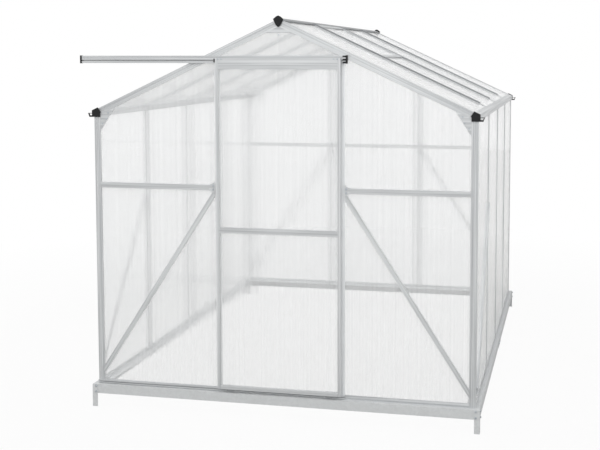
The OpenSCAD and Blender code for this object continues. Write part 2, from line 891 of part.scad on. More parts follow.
module door_sheets() {
    reach = door_slot_d - edge_fit;
    side = door_w / 2 - stile_face + reach;
    panes = [
        [door_z0 + bottom_rail_face - reach, door_mid - mid_rail_face / 2 + reach],
        [door_mid + mid_rail_face / 2 - reach, door_z1 - top_rail_face + reach]
    ];
    color(clear_sheet) for (pane = panes)
        front_plate(door_sheet_in, door_sheet_in + sheet_t) translate([-side, pane[0]])
            square([2 * side, pane[1] - pane[0]]);
}

// Nylon hangers: a plate on the back of the top rail, a neck through the slot, a runner in the track
module door_hangers() {
    runner_in = track_wall + run_fit;
    plate = hanger_h / 2;
    runner = [
        [door_back, -plate], [door_back + nylon_t, -plate], [door_back + nylon_t, run_fit - slot_h / 2],
        [-track_d + runner_in, run_fit - slot_h / 2], [-track_d + runner_in, track_wall + run_fit - slot_z],
        [-runner_in, track_wall + run_fit - slot_z], [-runner_in, slot_h],
        [-track_d + runner_in, slot_h], [-track_d + runner_in, slot_h / 2 - run_fit],
        [door_back + nylon_t, slot_h / 2 - run_fit], [door_back + nylon_t, plate], [door_back, plate]
    ];
    color(black_nylon) for (side = [-1, 1]) {
        lead = side < 0 ? hanger_inset + hanger_lead : 0;
        front_run(side * hanger_x - hanger_l / 2 - lead, side * hanger_x + hanger_l / 2, track_z + slot_z)
            polygon(runner);
    }
}

// Nylon shoes: a plate on the back of the bottom rail, a tongue in the guide rail's slot
module door_shoes() {
    tongue = slot_h / 2 - run_fit;
    top = door_z0 + bottom_rail_face - guide_mid;
    color(grey_nylon) for (side = [-1, 1])
        front_run(side * shoe_x - shoe_l / 2, side * shoe_x + shoe_l / 2, guide_mid) polygon([
            [door_back, -tongue], [-bar_t - run_fit, -tongue], [-bar_t - run_fit, tongue],
            [door_back + nylon_t, tongue], [door_back + nylon_t, top], [door_back, top]
        ]);
}

base_front();
base_back();
base_left();
base_right();
base_splices();
corner_stakes();
front_sills();
back_sills();
side_sills();
corner_posts();
door_posts();
back_posts();
left_posts();
right_posts();
front_rails();
back_rails();
rail_brackets();
front_braces();
back_braces();
side_braces();
left_gutter();
right_gutter();
ridge_beam();
end_caps();
front_rafters();
back_rafters();
left_roof_bars();
right_roof_bars();
gussets();
front_sheets();
back_sheets();
left_sheets();
right_sheets();
left_roof_sheets();
right_roof_sheets();
roof_window_frame();
roof_window_sheet();
door_header();
door_track();
track_caps();
door_guide_rail();
door_stiles();
door_rails();
door_sheets();
door_hangers();
door_shoes();
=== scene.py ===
"""Looks of an aluminium greenhouse: fluted sheets, zinc fasteners, finishes, studio and camera.

Metres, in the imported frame: +X to the right of the door, +Y from the door to the back, +Z up.
"""

import json
import math

import bmesh
import bpy
from mathutils import Matrix, Vector


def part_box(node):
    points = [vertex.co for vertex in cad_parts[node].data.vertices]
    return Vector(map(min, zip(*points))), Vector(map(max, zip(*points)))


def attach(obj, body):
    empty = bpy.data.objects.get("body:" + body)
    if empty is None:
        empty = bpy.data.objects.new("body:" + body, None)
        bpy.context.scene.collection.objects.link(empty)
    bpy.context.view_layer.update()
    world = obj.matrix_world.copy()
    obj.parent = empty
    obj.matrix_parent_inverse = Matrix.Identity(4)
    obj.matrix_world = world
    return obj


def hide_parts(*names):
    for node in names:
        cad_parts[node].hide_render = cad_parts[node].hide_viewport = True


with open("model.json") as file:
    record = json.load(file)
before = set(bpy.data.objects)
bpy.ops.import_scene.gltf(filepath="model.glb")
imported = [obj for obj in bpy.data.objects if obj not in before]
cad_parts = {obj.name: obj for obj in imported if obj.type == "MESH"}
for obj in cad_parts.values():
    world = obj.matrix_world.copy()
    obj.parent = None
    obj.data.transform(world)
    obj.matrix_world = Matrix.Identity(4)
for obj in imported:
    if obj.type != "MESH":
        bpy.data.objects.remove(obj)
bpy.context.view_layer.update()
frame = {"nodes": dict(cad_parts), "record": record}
NODES = frame["nodes"]

MM = 0.001
UP = Vector((0, 0, 1))
RIGHT = Vector((1, 0, 0))
BACK = Vector((0, 1, 0))
STEEP = 0.9

# Twin-wall sheets. Real flutes are 6 mm wide: they are drawn at twice that, to show in the render
FLUTE_PITCH = 12 * MM
RIB_T = 1.0 * MM
SKIN_T = 0.6 * MM

# Fasteners
BOLT_HEAD_W = 8 * MM
BOLT_HEAD_H = 3.5 * MM
SCREW_HEAD_W = 6 * MM
SCREW_HEAD_H = 2 * MM
WASHER_SHARE = 1.35
WASHER_T = 1.0 * MM
WASHER_SIDES = 20
HEX_SIDES = 6
CROWN_TOP_SHARE = 0.78
CROWN_H_SHARE = 0.22

# Cover strips of the roof bars; their profile is height and width, as shares, from the foot to the crown
COVER_W = 18 * MM
COVER_H = 7 * MM
COVER_PROFILE = ((0.0, 1.0), (0.55, 1.0), (0.85, 0.8), (1.0, 0.5))
COVER_ARC = 8
COVER_FROM_RIDGE = 12 * MM
COVER_FROM_GUTTER = 40 * MM
BARS_APART = 72 * MM
FACE_TOL = 0.2 * MM
MERGE_TOL = 0.01 * MM

# Where the fasteners sit, from the edges of the pieces that they hold
STAKE_BOLT_IN = 19 * MM
STAKE_BOLT_TOP = 8 * MM
STAKE_BOLT_STEP = 28 * MM
SPLICE_BOLT_IN = 16 * MM
BRACKET_BOLT_IN = 8 * MM
BRACKET_BOLT_STEP = 18 * MM
EAVE_GUSSET = 80 * MM
GUSSET_BOLT_ALONG = 0.55
GUSSET_MIDDLE = 0.42
GUSSET_BOLT_IN = 10 * MM
RIDGE_BOLT_DOWN = 38 * MM
HANGER_SCREW_IN = 15 * MM
HANGER_SCREW_STEP = 16 * MM
HANGER_SCREW_DOWN = 6 * MM

# Camera, solved from the photograph: place and turn in the frame, focal length and middle in pixels
PHOTO_W = 600
PHOTO_H = 450
CAMERA_AT = (1.3404, -6.0236, 1.7069)
CAMERA_YAW = -0.21337
CAMERA_PITCH = 0.08175
FOCAL_PX = 1065.6
MIDDLE_X_PX = 343.2
MIDDLE_Y_PX = 145.0
SENSOR_MM = 36

# Studio: how white the background is to each kind of ray, and the two softboxes
FLOOR_RADIUS = 14.0
FLOOR_SIDES = 96
FLOOR_FADE = (2.0, 4.5)
FLOOR_PALE = "#B0B0AE"
FLOOR_WHITE_SEEN = 0.95
FLOOR_WHITE_IN_GLOSS = 0.3
FLOOR_WHITE_BEHIND_SHEETS = 0.8
SKY_STRENGTH = 0.9
FAR_FLOOR_WHITE_IN_GLOSS = 0.65
SKY_WHITE_IN_GLOSS = 0.2
KEY_AT = (2.0, -6.0, 4.4)
KEY_AIM = (0, -0.4, 0.8)
KEY_SIZE = (8, 4)
KEY_WATTS = 185
LEFT_AT = (-6.0, -1.5, 2.5)
LEFT_AIM = (0, 0, 0.8)
LEFT_SIZE = (4, 3)
LEFT_WATTS = 120
CLEAR_LAYERS = 96

# Refraction of the plastics, and the tone of the sheets' milk
NYLON_IOR = 1.53
SHEET_IOR = 1.585
SHEET_WHITE = "#F5F6F7"

# Sockets of a Mix node that mixes colours, and where most of a noise's values lie
FACTOR, FIRST, SECOND, MIXED = 0, 6, 7, 2
NOISE_LOW = 0.25
NOISE_HIGH = 0.75


def linear(hex_colour):
    """Linear RGBA of an sRGB colour written as #RRGGBB."""
    channels = [int(hex_colour[i:i + 2], 16) / 255 for i in (1, 3, 5)]
    return [c / 12.92 if c <= 0.04045 else ((c + 0.055) / 1.055) ** 2.4 for c in channels] + [1.0]


def add(tree, kind, inputs=None, **settings):
    """Add a node with its settings. An input goes by name or index, as a value or as a socket to link."""
    node = tree.nodes.new(kind)
    for name, value in settings.items():
        setattr(node, name, value)
    for key, value in (inputs or {}).items():
        socket = node.inputs[key]
        if isinstance(value, bpy.types.NodeSocket):
            tree.links.new(value, socket)
        else:
            socket.default_value = value
    return node


def new_material(name):
    """Material without nodes, and its tree."""
    material = bpy.data.materials.new(name)
    material.use_nodes = True
    material.node_tree.nodes.clear()
    return material, material.node_tree


def surface(tree, shader):
    """End a material's tree in a shader."""
    add(tree, "ShaderNodeOutputMaterial", {"Surface": shader.outputs[0]})


# Finishes


def run_turn(run):
    """Turn of a pattern whose X axis follows the run of a bar."""
    side = UP if abs(run.z) < STEEP else BACK
    across = side.cross(run).normalized()
    return Matrix((run, across, run.cross(across))).transposed().to_euler()


def mill_aluminium(name, light, dark, roughness, run):
    """Extruded aluminium as it leaves the die: dull silver with draw lines along the bar and faint smears.

    Real draw lines are a fraction of a millimetre apart: they are drawn 6 mm apart, to show.
    """
    line_size = (600 * MM, 6 * MM, 6 * MM)
    smear_size = (180 * MM, 40 * MM, 40 * MM)
    smear_share = 0.3
    roughness_drift = 0.08
    material, tree = new_material(name)
    place = add(tree, "ShaderNodeTexCoord").outputs["Object"]
    mirrored = add(tree, "ShaderNodeVectorMath", {0: place}, operation="ABSOLUTE").outputs[0]
    turn = run_turn(run)
    noises = []
    for size, detail in ((line_size, 2.0), (smear_size, 4.0)):
        spot = add(tree, "ShaderNodeMapping", {"Vector": mirrored, "Rotation": turn, "Scale": size},
                   vector_type="TEXTURE")
        noises.append(add(tree, "ShaderNodeTexNoise",
                          {"Vector": spot.outputs[0], "Scale": 1.0, "Detail": detail}).outputs["Fac"])
    lines, smears = noises
    drawn = add(tree, "ShaderNodeMapRange", {"Value": lines, "From Min": 0.3, "From Max": 0.7})
    both = add(tree, "ShaderNodeMath", {0: smears, 1: smear_share, 2: drawn.outputs[0]},
               operation="MULTIPLY_ADD")
    share = add(tree, "ShaderNodeMapRange", {"Value": both.outputs[0], "From Min": 0.15, "From Max": 1.15})
    tone = add(tree, "ShaderNodeMix", {
        FACTOR: share.outputs[0], FIRST: linear(dark), SECOND: linear(light)}, data_type="RGBA")
    rough = add(tree, "ShaderNodeMapRange", {
        "Value": smears, "To Min": roughness - roughness_drift, "To Max": roughness + roughness_drift})
    relief = add(tree, "ShaderNodeBump", {"Height": lines, "Strength": 0.25, "Distance": 0.3 * MM})
    surface(tree, add(tree, "ShaderNodeBsdfPrincipled", {
        "Base Color": tone.outputs[MIXED], "Metallic": 0.5, "Roughness": rough.outputs[0],
        "Normal": relief.outputs[0]}))
    return material


def galvanised_steel(name):
    """Hot-dip galvanised sheet: matt grey, with zinc crystals that are each a little lighter or duller."""
    crystal = 9 * MM
    cloud_size = 60 * MM
    material, tree = new_material(name)
    place = add(tree, "ShaderNodeTexCoord").outputs["Object"]
    cells = add(tree, "ShaderNodeTexVoronoi", {"Vector": place, "Scale": 1 / crystal})
    cell_tone = add(tree, "ShaderNodeSeparateColor", {"Color": cells.outputs["Color"]}).outputs[0]
    cloud = add(tree, "ShaderNodeTexNoise", {"Vector": place, "Scale": 1 / cloud_size, "Detail": 3.0})
    mixed = add(tree, "ShaderNodeMath", {0: cell_tone, 1: cloud.outputs["Fac"], 2: 0.25},
                operation="MULTIPLY_ADD")
    tone = add(tree, "ShaderNodeMix", {
        FACTOR: mixed.outputs[0], FIRST: linear("#BEC0C1"), SECOND: linear("#CCCECF")}, data_type="RGBA")
    rough = add(tree, "ShaderNodeMapRange", {"Value": cell_tone, "To Min": 0.5, "To Max": 0.66})
    relief = add(tree, "ShaderNodeBump", {"Height": cell_tone, "Strength": 0.1, "Distance": 0.2 * MM})
    surface(tree, add(tree, "ShaderNodeBsdfPrincipled", {
        "Base Color": tone.outputs[MIXED], "Metallic": 0.15, "Roughness": rough.outputs[0],
        "Normal": relief.outputs[0]}))
    return material


def moulded_nylon(name, light, dark):
    """Moulded nylon: satin, with the fine grain of the mould, drawn at 1.5 mm to show."""
    grain = 1.5 * MM
    material, tree = new_material(name)
    place = add(tree, "ShaderNodeTexCoord").outputs["Object"]
    grit = add(tree, "ShaderNodeTexNoise",
               {"Vector": place, "Scale": 1 / grain, "Detail": 3.0}).outputs["Fac"]
    tone = add(tree, "ShaderNodeMix", {FACTOR: grit, FIRST: linear(dark), SECOND: linear(light)},
               data_type="RGBA")
    rough = add(tree, "ShaderNodeMapRange", {"Value": grit, "To Min": 0.4, "To Max": 0.6})
    relief = add(tree, "ShaderNodeBump", {"Height": grit, "Strength": 0.2, "Distance": 0.2 * MM})
    surface(tree, add(tree, "ShaderNodeBsdfPrincipled", {
        "Base Color": tone.outputs[MIXED], "Roughness": rough.outputs[0], "IOR": NYLON_IOR,
        "Specular IOR Level": 0.25, "Normal": relief.outputs[0]}))
    return material


def twin_wall_polycarbonate(name, across):
    """Extruded twin-wall polycarbonate: clear plastic with a milky skin, rippled across its flutes.

    The ripples smear what stands behind a sheet to the sides, so that posts melt away and level lines
    stay. They are drawn 3 mm apart, to show. The milk drifts a little from flute to flute, as the die drew
    it. What it scatters still gets through, so light that isn't looked at passes straight on.
    """
    ripple = 3 * MM
    ripple_slope = 0.05
    streak = 18 * MM
    skin_milk = 0.2
    milk_drift = 0.05
    cloud_size = 300 * MM
    material, tree = new_material(name)
    place = add(tree, "ShaderNodeTexCoord").outputs["Object"]
    axis = add(tree, "ShaderNodeVectorMath", {0: place, 1: across},
               operation="DOT_PRODUCT").outputs["Value"]
    drift = add(tree, "ShaderNodeTexNoise", {"W": axis, "Scale": 1 / streak, "Detail": 2.0},
                noise_dimensions="1D").outputs["Fac"]
    wave = add(tree, "ShaderNodeTexNoise", {"W": axis, "Scale": 1 / ripple, "Detail": 1.0},
               noise_dimensions="1D").outputs["Fac"]
    lean = add(tree, "ShaderNodeMapRange", {
        "Value": wave, "From Min": NOISE_LOW, "From Max": NOISE_HIGH,
        "To Min": -ripple_slope, "To Max": ripple_slope})
    sideways = add(tree, "ShaderNodeVectorMath", {0: across, "Scale": lean.outputs[0]}, operation="SCALE")
    plain = add(tree, "ShaderNodeNewGeometry").outputs["Normal"]
    leaning = add(tree, "ShaderNodeVectorMath", {0: plain, 1: sideways.outputs[0]}, operation="ADD")
    normal = add(tree, "ShaderNodeVectorMath", {0: leaning.outputs[0]}, operation="NORMALIZE")
    glass = add(tree, "ShaderNodeBsdfGlass", {
        "Roughness": 0.0, "IOR": SHEET_IOR, "Normal": normal.outputs[0]})
    milk = add(tree, "ShaderNodeMapRange", {
        "Value": drift, "From Min": NOISE_LOW, "From Max": NOISE_HIGH,
        "To Min": skin_milk - milk_drift, "To Max": skin_milk + milk_drift})
    cloud = add(tree, "ShaderNodeTexNoise", {"Vector": place, "Scale": 1 / cloud_size, "Detail": 2.0})
    rough = add(tree, "ShaderNodeMapRange", {"Value": cloud.outputs["Fac"], "To Min": 0.2, "To Max": 0.35})
    skin = add(tree, "ShaderNodeBsdfPrincipled", {
        "Base Color": linear(SHEET_WHITE), "Roughness": rough.outputs[0], "IOR": SHEET_IOR})
    lit_through = add(tree, "ShaderNodeBsdfTranslucent", {"Color": linear(SHEET_WHITE)})
    milky = add(tree, "ShaderNodeMixShader", {0: 0.5, 1: skin.outputs[0], 2: lit_through.outputs[0]})
    seen = add(tree, "ShaderNodeMixShader", {0: milk.outputs[0], 1: glass.outputs[0], 2: milky.outputs[0]})
    straight = add(tree, "ShaderNodeBsdfTransparent")
    surface(tree, add(tree, "ShaderNodeMixShader", {
        0: looked_at(tree), 1: straight.outputs[0], 2: seen.outputs[0]}))
    return material


def looked_at(tree):
    """1 for rays from the camera and through clear pieces, 0 for scattered light and lamps."""
    path = add(tree, "ShaderNodeLightPath").outputs
    return add(tree, "ShaderNodeMath", {0: path["Is Camera Ray"], 1: path["Is Transmission Ray"]},
               operation="MAXIMUM").outputs[0]


def flute_polycarbonate(name):
    """Inner faces of the twin-wall sheets: clear, with a breath of milk, clouded along the flutes."""
    cloud_size = 200 * MM
    material, tree = new_material(name)
    place = add(tree, "ShaderNodeTexCoord").outputs["Object"]
    cloud = add(tree, "ShaderNodeTexNoise", {"Vector": place, "Scale": 1 / cloud_size, "Detail": 2.0})
    milk = add(tree, "ShaderNodeMapRange", {"Value": cloud.outputs["Fac"], "To Min": 0.03, "To Max": 0.07})
    seen = add(tree, "ShaderNodeMath", {0: milk.outputs[0], 1: looked_at(tree)}, operation="MULTIPLY")
    surface(tree, add(tree, "ShaderNodeBsdfPrincipled", {
        "Base Color": linear(SHEET_WHITE), "Roughness": 0.3, "IOR": SHEET_IOR, "Alpha": seen.outputs[0]}))
    return material


def zinc_plated_steel(name):
    """Zinc-plated steel of bolts and washers: bright, faintly blue, finely clouded."""
    cloud_size = 4 * MM
    material, tree = new_material(name)
    place = add(tree, "ShaderNodeTexCoord").outputs["Object"]
    cloud = add(tree, "ShaderNodeTexNoise", {"Vector": place, "Scale": 1 / cloud_size, "Detail": 2.0})
    tone = add(tree, "ShaderNodeMix", {
        FACTOR: cloud.outputs["Fac"], FIRST: linear("#A4A9AE"), SECOND: linear("#C9CED2")},
        data_type="RGBA")
    rough = add(tree, "ShaderNodeMapRange", {"Value": cloud.outputs["Fac"], "To Min": 0.2, "To Max": 0.4})
    surface(tree, add(tree, "ShaderNodeBsdfPrincipled", {
        "Base Color": tone.outputs[MIXED], "Metallic": 1.0, "Roughness": rough.outputs[0]}))
    return material


def largest_normal(mesh):
    """Direction that the largest face of a sheet looks in."""
    return max(mesh.polygons, key=lambda polygon: polygon.area).normal.copy()


# Which way the bars run, and so their draw lines
DOOR_POST_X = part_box("door_posts")[1].x
roof_up = largest_normal(NODES["right_roof_sheets"].data)
ROOF_OUT = roof_up if roof_up.z > 0 else -roof_up
gable_low, gable_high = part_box("front_braces")
brace_low, brace_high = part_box("side_braces")
RUNS = {
    "x": RIGHT,
    "y": BACK,
    "z": UP,
    "slope": Vector((ROOF_OUT.z, 0, -ROOF_OUT.x)),
    "gable_brace": Vector((gable_high.x - DOOR_POST_X, 0, gable_low.z - gable_high.z)).normalized(),
    "side_brace": Vector((0, brace_low.y - brace_high.y, brace_high.z - brace_low.z)).normalized(),
}
RUN_OF = {
    "x": ["front_sills", "back_sills", "front_rails", "back_rails", "rail_brackets", "door_header",
          "door_track", "door_guide_rail", "door_rails", "gussets"],
    "y": ["side_sills", "left_gutter", "right_gutter", "ridge_beam", "roof_window_frame"],
    "z": ["corner_posts", "door_posts", "back_posts", "left_posts", "right_posts", "door_stiles"],
    "slope": ["front_rafters", "back_rafters", "left_roof_bars", "right_roof_bars"],
    "gable_brace": ["front_braces", "back_braces"],
    "side_brace": ["side_braces"],
}
SLOT_OF = {part["node"]: part["material_slot"] for part in frame["record"]["subparts"]}

# Lighter tone, darker tone and roughness: as drawn; darker on the ridge and the roof's cover strips, a
# painted shade; lighter on the door posts, painted light that offsets the door's shade
ALUMINIUM = {
    "mill_aluminium": ("#D6D8D9", "#AEB0B2", 0.4),
    "grey_aluminium": ("#CED0D1", "#B0B2B4", 0.45),
}
# Ridge and roof cover strips: a darker grey that paints in the shade seen along the roof bars
ROOF_PAINTED_SHADE = ("#A0A2A4", "#7E8082", 0.5)
# Door posts: a lighter tone, painted light to offset the shade that the door casts on them
DOOR_POST_PAINTED_LIGHT = ("#F0F1F2", "#DCDEE0", 0.36)
NYLON = {"black_nylon": ("#17181A", "#0B0C0D"), "grey_nylon": ("#A2A4A6", "#8E9092")}


def dress_frame():
    """Give every shown CAD node its finish."""
    finishes = {slot: moulded_nylon(slot, *tones) for slot, tones in NYLON.items()}
    finishes["galvanised_steel"] = galvanised_steel("galvanised_steel")
    bars = {}
    for run, nodes in RUN_OF.items():
        for node in nodes:
            slot = SLOT_OF[node]
            if (slot, run) not in bars:
                bars[slot, run] = mill_aluminium(f"{slot}_along_{run}", *ALUMINIUM[slot], RUNS[run])
            wear(NODES[node], bars[slot, run])
    # The ridge takes the darker grey of painted shade
    wear(NODES["ridge_beam"], mill_aluminium("weathered_aluminium_along_y", *ROOF_PAINTED_SHADE, RUNS["y"]))
    # The door posts take a lighter tone of painted light, against the door's shade
    wear(NODES["door_posts"], mill_aluminium("painted_light_aluminium_along_z", *DOOR_POST_PAINTED_LIGHT, RUNS["z"]))
    for node, slot in SLOT_OF.items():
        if slot in finishes:
            wear(NODES[node], finishes[slot])


def wear(piece, material):
    """Give a piece one finish."""
    piece.data.materials.clear()
    piece.data.materials.append(material)


# Geometry node trees


def new_tree(name, sizes, finishes):
    """Empty geometry tree with a geometry in and out, and lengths and finishes by name."""
    tree = bpy.data.node_groups.new(name, "GeometryNodeTree")
    tree.interface.new_socket("Geometry", in_out="INPUT", socket_type="NodeSocketGeometry")
    for size in sizes:
        tree.interface.new_socket(size, in_out="INPUT", socket_type="NodeSocketFloat")
    for finish in finishes:
        tree.interface.new_socket(finish, in_out="INPUT", socket_type="NodeSocketMaterial")
    tree.interface.new_socket("Geometry", in_out="OUTPUT", socket_type="NodeSocketGeometry")
    return tree, add(tree, "NodeGroupInput").outputs


def end_tree(tree, geometry, finish, where=True):
    """Make the instances real and give them their finish."""
    whole = add(tree, "GeometryNodeRealizeInstances", {"Geometry": geometry})
    dressed = add(tree, "GeometryNodeSetMaterial",
                  {"Geometry": whole.outputs[0], "Selection": where, "Material": finish})
    add(tree, "NodeGroupOutput", {"Geometry": dressed.outputs[0]})


def grown(name, mesh, tree, values):
    """Plain object with the mesh that a tree makes of the given one."""
    piece = bpy.data.objects.new(name, mesh)
    bpy.context.scene.collection.objects.link(piece)
    modifier = piece.modifiers.new("make", "NODES")
    modifier.node_group = tree
    for item in tree.interface.items_tree:
        if item.in_out == "INPUT" and item.name in values:
            modifier[item.identifier] = values[item.name]
    made = piece.evaluated_get(bpy.context.evaluated_depsgraph_get())
    plain = bpy.data.meshes.new_from_object(made)
    piece.modifiers.clear()
    piece.data = plain
    plain.name = name
    return piece


def flute_tree():
    """Cuts a row of flutes through sheets that lie in X and Z, leaving two skins with ribs between them."""
    spare_length = 1.2
    tree, given = new_tree("flutes", ["Flute pitch", "Rib thickness", "Skin thickness"], ["Skin", "Flute"])
    room = add(tree, "GeometryNodeBoundBox", {"Geometry": given["Geometry"]})
    size = add(tree, "ShaderNodeVectorMath", {0: room.outputs["Max"], 1: room.outputs["Min"]},
               operation="SUBTRACT")
    sizes = add(tree, "ShaderNodeSeparateXYZ", {0: size.outputs[0]}).outputs
    total = add(tree, "ShaderNodeVectorMath", {0: room.outputs["Max"], 1: room.outputs["Min"]},
                operation="ADD")
    middle = add(tree, "ShaderNodeVectorMath", {0: total.outputs[0], "Scale": 0.5}, operation="SCALE")
    count = add(tree, "ShaderNodeMath", {0: sizes["X"], 1: given["Flute pitch"]}, operation="DIVIDE")
    whole = add(tree, "ShaderNodeMath", {0: count.outputs[0]}, operation="CEIL")
    reach = add(tree, "ShaderNodeMath", {0: whole.outputs[0], 1: given["Flute pitch"]},
                operation="MULTIPLY")
    row = add(tree, "GeometryNodeMeshLine", {"Count": whole.outputs[0]}, mode="OFFSET", count_mode="TOTAL")
    step = add(tree, "ShaderNodeCombineXYZ", {"X": given["Flute pitch"]})
    tree.links.new(step.outputs[0], row.inputs["Offset"])
    half = add(tree, "ShaderNodeMath", {0: reach.outputs[0], 1: given["Flute pitch"]}, operation="SUBTRACT")
    back = add(tree, "ShaderNodeMath", {0: half.outputs[0], 1: -0.5}, operation="MULTIPLY")
    shift = add(tree, "ShaderNodeCombineXYZ", {"X": back.outputs[0]})
    start = add(tree, "ShaderNodeVectorMath", {0: middle.outputs[0], 1: shift.outputs[0]}, operation="ADD")
    tree.links.new(start.outputs[0], row.inputs["Start Location"])
    width = add(tree, "ShaderNodeMath", {0: given["Flute pitch"], 1: given["Rib thickness"]},
                operation="SUBTRACT")
    skins = add(tree, "ShaderNodeMath", {0: given["Skin thickness"], 1: 2.0}, operation="MULTIPLY")
    depth = add(tree, "ShaderNodeMath", {0: sizes["Y"], 1: skins.outputs[0]}, operation="SUBTRACT")
    length = add(tree, "ShaderNodeMath", {0: sizes["Z"], 1: spare_length}, operation="MULTIPLY")
    flute_size = add(tree, "ShaderNodeCombineXYZ",
                     {"X": width.outputs[0], "Y": depth.outputs[0], "Z": length.outputs[0]})
    flute = add(tree, "GeometryNodeMeshCube", {"Size": flute_size.outputs[0]})
    flutes = add(tree, "GeometryNodeInstanceOnPoints",
                 {"Points": row.outputs[0], "Instance": flute.outputs["Mesh"]})
    cutters = add(tree, "GeometryNodeRealizeInstances", {"Geometry": flutes.outputs[0]})
    cut = add(tree, "GeometryNodeMeshBoolean", {"Mesh 1": given["Geometry"], "Mesh 2": cutters.outputs[0]},
              operation="DIFFERENCE", solver="EXACT")
    inside = add(tree, "GeometryNodeSetMaterial",
                 {"Geometry": cut.outputs["Mesh"], "Material": given["Flute"]})
    where = add(tree, "ShaderNodeVectorMath", {0: add(tree, "GeometryNodeInputPosition").outputs[0],
                                               1: middle.outputs[0]}, operation="SUBTRACT")
    depth_here = add(tree, "ShaderNodeSeparateXYZ", {0: where.outputs[0]}).outputs["Y"]
    distance = add(tree, "ShaderNodeMath", {0: depth_here}, operation="ABSOLUTE")
    to_mid_skins = add(tree, "ShaderNodeMath", {0: depth.outputs[0], 1: given["Skin thickness"]},
                       operation="ADD")
    flute_wall = add(tree, "ShaderNodeMath", {0: to_mid_skins.outputs[0], 1: 0.5}, operation="MULTIPLY")
    on_skin = add(tree, "ShaderNodeMath", {0: distance.outputs[0], 1: flute_wall.outputs[0]},
                  operation="GREATER_THAN")
    end_tree(tree, inside.outputs[0], given["Skin"], on_skin.outputs[0])
    return tree


def bolt_tree():
    """Puts a hexagon bolt with its washer on every point, facing along the point's axis attribute."""
    tree, given = new_tree("bolts", ["Head width", "Head height", "Washer width", "Washer thickness"],
                           ["Finish"])
    shapes = []
    washer_r = add(tree, "ShaderNodeMath", {0: given["Washer width"], 1: 0.5}, operation="MULTIPLY")
    washer = add(tree, "GeometryNodeMeshCylinder", {
        "Vertices": WASHER_SIDES, "Radius": washer_r.outputs[0], "Depth": given["Washer thickness"]})
    washer_up = add(tree, "ShaderNodeMath", {0: given["Washer thickness"], 1: 0.5}, operation="MULTIPLY")
    washer_at = add(tree, "ShaderNodeCombineXYZ", {"Z": washer_up.outputs[0]})
    shapes.append(add(tree, "GeometryNodeTransform",
                      {"Geometry": washer.outputs["Mesh"], "Translation": washer_at.outputs[0]}).outputs[0])
    head_r = add(tree, "ShaderNodeMath", {0: given["Head width"], 1: 1 / math.sqrt(3)},
                 operation="MULTIPLY")
    head = add(tree, "GeometryNodeMeshCylinder", {
        "Vertices": HEX_SIDES, "Radius": head_r.outputs[0], "Depth": given["Head height"]})
    head_up = add(tree, "ShaderNodeMath", {0: given["Head height"], 1: 0.5, 2: given["Washer thickness"]},
                  operation="MULTIPLY_ADD")
    head_at = add(tree, "ShaderNodeCombineXYZ", {"Z": head_up.outputs[0]})
    shapes.append(add(tree, "GeometryNodeTransform",
                      {"Geometry": head.outputs["Mesh"], "Translation": head_at.outputs[0]}).outputs[0])
    crown = add(tree, "GeometryNodeMeshCone", {"Vertices": HEX_SIDES})
    crown_top = add(tree, "ShaderNodeMath", {0: head_r.outputs[0], 1: CROWN_TOP_SHARE},
                    operation="MULTIPLY")
    crown_h = add(tree, "ShaderNodeMath", {0: given["Head height"], 1: CROWN_H_SHARE},
                  operation="MULTIPLY")
    tree.links.new(head_r.outputs[0], crown.inputs["Radius Bottom"])
    tree.links.new(crown_top.outputs[0], crown.inputs["Radius Top"])
    tree.links.new(crown_h.outputs[0], crown.inputs["Depth"])
    crown_up = add(tree, "ShaderNodeMath", {0: given["Head height"], 1: given["Washer thickness"]},
                   operation="ADD")
    crown_at = add(tree, "ShaderNodeCombineXYZ", {"Z": crown_up.outputs[0]})
    shapes.append(add(tree, "GeometryNodeTransform",
                      {"Geometry": crown.outputs["Mesh"], "Translation": crown_at.outputs[0]}).outputs[0])
    bolt = add(tree, "GeometryNodeJoinGeometry")
    for shape in shapes:
        tree.links.new(shape, bolt.inputs[0])
    axis = add(tree, "GeometryNodeInputNamedAttribute", {"Name": "axis"}, data_type="FLOAT_VECTOR")
    turn = add(tree, "FunctionNodeAlignRotationToVector", {"Vector": axis.outputs["Attribute"]}, axis="Z")
    bolts = add(tree, "GeometryNodeInstanceOnPoints", {
        "Points": given["Geometry"], "Instance": bolt.outputs[0], "Rotation": turn.outputs[0]})
    end_tree(tree, bolts.outputs[0], given["Finish"])
    return tree


def row_tree():
    """Repeats a piece in a row along Y."""
    tree, given = new_tree("row", ["Count", "Start", "Step"], ["Finish"])
    start = add(tree, "ShaderNodeCombineXYZ", {"Y": given["Start"]})
    step = add(tree, "ShaderNodeCombineXYZ", {"Y": given["Step"]})
    row = add(tree, "GeometryNodeMeshLine", {"Count": given["Count"]}, mode="OFFSET", count_mode="TOTAL")
    tree.links.new(start.outputs[0], row.inputs["Start Location"])
    tree.links.new(step.outputs[0], row.inputs["Offset"])
    pieces = add(tree, "GeometryNodeInstanceOnPoints",
                 {"Points": row.outputs[0], "Instance": given["Geometry"]})
    end_tree(tree, pieces.outputs[0], given["Finish"])
    return tree


# Covers of the roof bars


def cover_strip(start, end, base):
    """Strip along X with round ends and a crowned back, standing on the height of its base."""
    outline = []
    for tip, turn in ((end, 0), (start, math.pi)):
        for step in range(COVER_ARC + 1):
            angle = turn - math.pi / 2 + math.pi * step / COVER_ARC
            outline.append((tip, math.cos(angle), math.sin(angle)))
    shape = bmesh.new()
    rings = []
    for height, share in COVER_PROFILE:
        radius = share * COVER_W / 2
        rings.append([shape.verts.new((tip + radius * along, radius * across, base + height * COVER_H))
                      for tip, along, across in outline])
    for lower, upper in zip(rings, rings[1:]):
        for i in range(len(outline)):
            j = (i + 1) % len(outline)
            shape.faces.new((lower[i], lower[j], upper[j], upper[i]))
    shape.faces.new(rings[-1])
    shape.faces.new(reversed(rings[0]))
    mesh = bpy.data.meshes.new("cover_strip")
    shape.to_mesh(mesh)
    shape.free()
    return mesh


